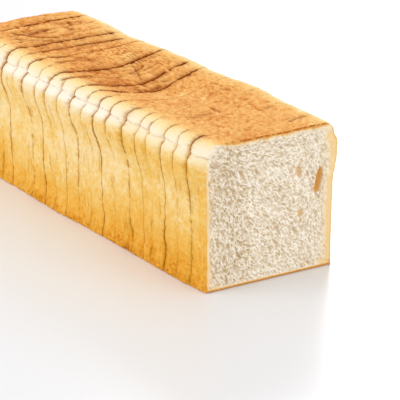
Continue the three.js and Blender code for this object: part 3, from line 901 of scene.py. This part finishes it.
def baked_crust():
    """Crust of lean white dough baked against tin: dry, thin and slightly silky. Its colour comes from
    browning, with a fine mottle and painted shade on its relief, and painted brown shade fills its cuts,
    creases and pits."""
    material, tree, shader = new_material(
        "baked_crust",
        Roughness=0.7,
        IOR=1.45,
        Specular_IOR_Level=0.05,
        Subsurface_Weight=0.1,
        Subsurface_Radius=(1.0, 0.85, 0.5),
        Subsurface_Scale=0.001,
    )
    place = add_node(tree, "ShaderNodeTexCoord").outputs["Object"]
    names = ("tone", "lid", "crevice")
    tone, lid, crevice = (
        add_node(tree, "ShaderNodeAttribute", attribute_name=name).outputs["Fac"] for name in names
    )
    crept = {"Vector": place, "Rotation": (0, 0, CREEP), "Scale": (1.9, 1, 1)}
    slantwise = add_node(tree, "ShaderNodeMapping", crept, vector_type="TEXTURE").outputs[0]
    mottling = {"Vector": slantwise, "Scale": per_metre(1.8), "Detail": 4.0, "Roughness": 0.65}
    mottle = add_node(tree, "ShaderNodeTexNoise", mottling).outputs[0]
    taller = {"Vector": place, "Scale": (1, 1, 1 / 1.3)}
    upright_place = add_node(tree, "ShaderNodeMapping", taller).outputs[0]
    flaking = {"Vector": upright_place, "Scale": per_metre(1.5), "Detail": 3.0}
    upright = add_node(tree, "ShaderNodeTexNoise", flaking).outputs[0]
    drawing = {"Vector": slantwise, "Scale": per_metre(1.1), "Detail": 3.0, "Roughness": 0.6}
    drawn = add_node(tree, "ShaderNodeTexNoise", drawing).outputs[0]
    fibre = add_node(tree, "ShaderNodeMix", {0: lid, 2: upright, 3: drawn}).outputs[0]
    height = add_node(tree, "ShaderNodeMath", {0: mottle, 1: fibre}, operation="ADD").outputs[0]
    patches = add_node(tree, "ShaderNodeMath", {0: height, 1: 1.0}, operation="SUBTRACT").outputs[0]
    baking = add_node(tree, "ShaderNodeMath", {0: tone, 1: 0.95}, operation="MULTIPLY").outputs[0]
    uneven = add_node(tree, "ShaderNodeMath", {0: baking, 1: MOST_MOTTLE}, operation="MINIMUM").outputs[0]
    level = add_node(
        tree, "ShaderNodeMath", {0: patches, 1: uneven, 2: tone}, operation="MULTIPLY_ADD"
    ).outputs[0]
    wall_colour = add_node(tree, "ShaderNodeValToRGB", {0: level}, WALL_BROWNING).outputs[0]
    lid_colour = add_node(tree, "ShaderNodeValToRGB", {0: level}, LID_BROWNING).outputs[0]
    skins = {0: lid, 6: wall_colour, 7: lid_colour}
    baked = add_node(tree, "ShaderNodeMix", skins, data_type="RGBA").outputs[2]
    shades = {0: lid, 6: WALL_SHADE, 7: LID_SHADE}
    shaded = add_node(tree, "ShaderNodeMix", shades, data_type="RGBA").outputs[2]
    deepened = {0: crevice, 6: baked, 7: shaded}
    colour = add_node(tree, "ShaderNodeMix", deepened, data_type="RGBA").outputs[2]
    relief = {"Strength": BUMP_STRENGTH, "Distance": BUMP_HEIGHT, "Height": height}
    bump = add_node(tree, "ShaderNodeBump", relief).outputs[0]
    tree.links.new(colour, shader.inputs["Base Color"])
    tree.links.new(bump, shader.inputs["Normal"])
    return material


def open_crumb():
    """Crumb of white tin bread: a matt sponge of thin walls that let a little light through. Painted shade
    darkens the pores, the bubbles and the left of the face; next to the skin the crumb is toasted, with a
    painted glow along its right edge, and painted brown shade lies on the cut faces hidden in the cuts."""
    material, tree, shader = new_material(
        "open_crumb",
        Roughness=0.95,
        Specular_IOR_Level=0.15,
        Subsurface_Weight=0.2,
        Subsurface_Radius=(1.0, 0.8, 0.55),
        Subsurface_Scale=0.0008,
    )
    place = add_node(tree, "ShaderNodeTexCoord").outputs["Object"]
    names = ("crumb_shade_and_grain", "bubble_shade", "toast_and_painted_light", "along", "across", "crevice", "lid")
    crumb_shade_and_grain, bubble_shade, toast_and_light, along, across, crevice, lid = (
        add_node(tree, "ShaderNodeAttribute", attribute_name=name).outputs["Fac"] for name in names
    )
    in_crumb = add_node(tree, "ShaderNodeCombineXYZ", {0: along, 1: across}).outputs[0]
    drawn_out = {"Vector": in_crumb, "Scale": (1 / 4.0, 1 / 1.0, 1)}
    drawn_place = add_node(tree, "ShaderNodeMapping", drawn_out).outputs[0]
    drawing = {"Vector": drawn_place, "Scale": 1.0, "Detail": 2.0, "Roughness": 0.6}
    drawn = add_node(tree, "ShaderNodeTexNoise", drawing).outputs[0]
    graining = {"Vector": place, "Scale": per_metre(1.0), "Detail": 3.0, "Roughness": 0.7}
    fine = add_node(tree, "ShaderNodeTexNoise", graining).outputs[0]
    clouding = {"Vector": place, "Scale": per_metre(11.0)}
    cloud = add_node(tree, "ShaderNodeTexNoise", clouding).outputs[0]
    clouded = add_node(
        tree, "ShaderNodeMath", {0: cloud, 1: 0.25, 2: -0.61}, operation="MULTIPLY_ADD"
    ).outputs[0]
    strands = add_node(
        tree, "ShaderNodeMath", {0: drawn, 1: 1.3, 2: clouded}, operation="MULTIPLY_ADD"
    ).outputs[0]
    texture = add_node(
        tree, "ShaderNodeMath", {0: fine, 1: 0.8, 2: strands}, operation="MULTIPLY_ADD"
    ).outputs[0]
    crumb = add_node(tree, "ShaderNodeValToRGB", {0: texture}, CRUMB_TONES).outputs[0]
    shade = add_node(
        tree, "ShaderNodeMath", {0: crumb_shade_and_grain, 1: 0.75}, operation="MULTIPLY", use_clamp=True
    ).outputs[0]
    pored = add_node(tree, "ShaderNodeMix", {0: shade, 6: crumb, 7: PORE_SHADE}, data_type="RGBA").outputs[2]
    bubbled = {0: bubble_shade, 6: pored, 7: BUBBLE_SHADE}
    hollowed = add_node(tree, "ShaderNodeMix", bubbled, data_type="RGBA").outputs[2]
    toast_and_light_colour = add_node(tree, "ShaderNodeValToRGB", {0: toast_and_light}, TOAST_AND_LIGHT_TONES).outputs[0]
    toast_and_light_share = add_node(
        tree, "ShaderNodeMath", {0: toast_and_light, 1: 2.2}, operation="MULTIPLY", use_clamp=True
    ).outputs[0]
    rimmed = {0: toast_and_light_share, 6: hollowed, 7: toast_and_light_colour}
    edged = add_node(tree, "ShaderNodeMix", rimmed, data_type="RGBA").outputs[2]
    shades = {0: lid, 6: WALL_SHADE, 7: LID_SHADE}
    shaded = add_node(tree, "ShaderNodeMix", shades, data_type="RGBA").outputs[2]
    deepened = {0: crevice, 6: edged, 7: shaded}
    colour = add_node(tree, "ShaderNodeMix", deepened, data_type="RGBA").outputs[2]
    relief = {"Strength": BUMP_STRENGTH, "Distance": BUMP_HEIGHT, "Height": texture}
    bump = add_node(tree, "ShaderNodeBump", relief).outputs[0]
    tree.links.new(colour, shader.inputs["Base Color"])
    tree.links.new(bump, shader.inputs["Normal"])
    return material


def white_table():
    """White melamine board, satin: it takes a faint warm bounce from the bread."""
    board = {"Base_Color": linear("#ebebed"), "Roughness": 0.3, "Specular_IOR_Level": 0.5}
    return new_material("white_melamine", **board)[0]


WALL_BROWNING = [(0.0, "#fbf0dc"), (0.14, "#f8e4ba"), (0.30, "#f6d590"), (0.42, "#f2c770"), (0.55, "#efb956")]
WALL_BROWNING += [(0.68, "#ebaa3e"), (0.82, "#dc9226"), (1.0, "#a45c1a")]
LID_BROWNING = [(0.0, "#fbf0dc"), (0.18, "#f8dc9c"), (0.36, "#f2bb6e"), (0.52, "#e9a75a"), (0.66, "#dc9045")]
LID_BROWNING += [(0.80, "#c87226"), (0.92, "#a85a16"), (1.0, "#8a4408")]
CRUMB_TONES = [(0.26, "#d6be94"), (0.45, "#f3e4c9"), (0.58, "#fff5e6")]
TOAST_AND_LIGHT_TONES = [(0.0, "#f9e6c4"), (0.42, "#f6d396"), (0.7, "#e3a95c"), (1.0, "#b86a20")]
# Painted shade: the brown that light takes when it has bounced about in a crevice of golden crust, in a pore
# or in a bubble hole.
WALL_SHADE = linear("#be8014")
LID_SHADE = linear("#944804")
PORE_SHADE = linear("#b08942")
BUBBLE_SHADE = linear("#ecbc66")
MOST_MOTTLE = 0.34  # how far the mottle reaches along the browning
BUMP_STRENGTH = 0.5
BUMP_HEIGHT = 0.0005  # metres

CRUST = baked_crust()
CRUMB = open_crumb()

# --- the loaf -------------------------------------------------------------------------------------------
drum = new_drum("drum", AROUND, ROWS)
for index in range(1, SLICES):
    name = f"slice_{index + 1:02d}"
    piece = bake_slice(f"bread_{name}", index, drum)
    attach(piece, "root")
    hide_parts(name)
bpy.data.objects.remove(drum)

first = open_face(new_drum("bread_slice_01", FACE_CELLS * 4, ROWS))
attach(first, "root")
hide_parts("slice_01")

# --- table, light and camera, in metres -------------------------------------------------------------------
TABLE_SIZE = 12.0
TABLE_GAP = 0.0001
SKY_STRENGTH = 0.88
# The place, target, size and power in watts of each square light.
LIGHTS = {
    "window": ((-2.0, 0.8, 1.6), (0, 0, 0.05), 1.4, 20.0),
    "back_window": ((1.1, 1.2, 0.7), (0.3, 0.3, 0.0), 0.6, 6.0),
    "front_card": ((1.0, -2.2, 0.4), (0, -0.16, 0.05), 1.0, 12.0),
}
CAMERA_PLACE = (-0.8711, -1.42198, 0.59898)
AZIMUTH = math.radians(-33.024)
ELEVATION = math.radians(19.593)
ROLL = math.radians(0.134)
LENS = 225.0  # millimetres
SENSOR_WIDTH = 36.0  # millimetres

bpy.ops.object.select_all(action="DESELECT")
bpy.ops.mesh.primitive_plane_add(size=TABLE_SIZE, location=(0, 0, -TABLE_GAP))
table = bpy.context.object
table.name = "table"
table.data.materials.append(white_table())

world = bpy.data.worlds.new("studio")
bpy.context.scene.world = world
world.use_nodes = True
sky = world.node_tree.nodes["Background"]
sky.inputs["Color"].default_value = (1.0, 1.0, 1.0, 1.0)
sky.inputs["Strength"].default_value = SKY_STRENGTH


def soft_light(name, place, target, size, power):
    """A square light that faces its target."""
    bpy.ops.object.light_add(type="AREA", location=place)
    light = bpy.context.object
    light.name = name
    light.data.shape = "SQUARE"
    light.data.size = size
    light.data.energy = power
    direction = np.array(target) - np.array(place)
    light.rotation_euler = (
        math.atan2(math.hypot(direction[0], direction[1]), -direction[2]),
        0.0,
        math.atan2(direction[1], direction[0]) - math.pi / 2,
    )


for name, light in LIGHTS.items():
    soft_light(name, *light)

camera_data = bpy.data.cameras.new("camera")
camera = bpy.data.objects.new("camera", camera_data)
bpy.context.collection.objects.link(camera)
camera_data.lens = LENS
camera_data.sensor_width = SENSOR_WIDTH
camera.location = CAMERA_PLACE
turned = Matrix.Rotation(AZIMUTH, 3, "Z") @ Matrix.Rotation(math.pi / 2 - ELEVATION, 3, "X")
camera.rotation_euler = (turned @ Matrix.Rotation(ROLL, 3, "Z")).to_euler()
bpy.context.scene.camera = camera
bpy.context.scene.view_settings.view_transform = "Standard"
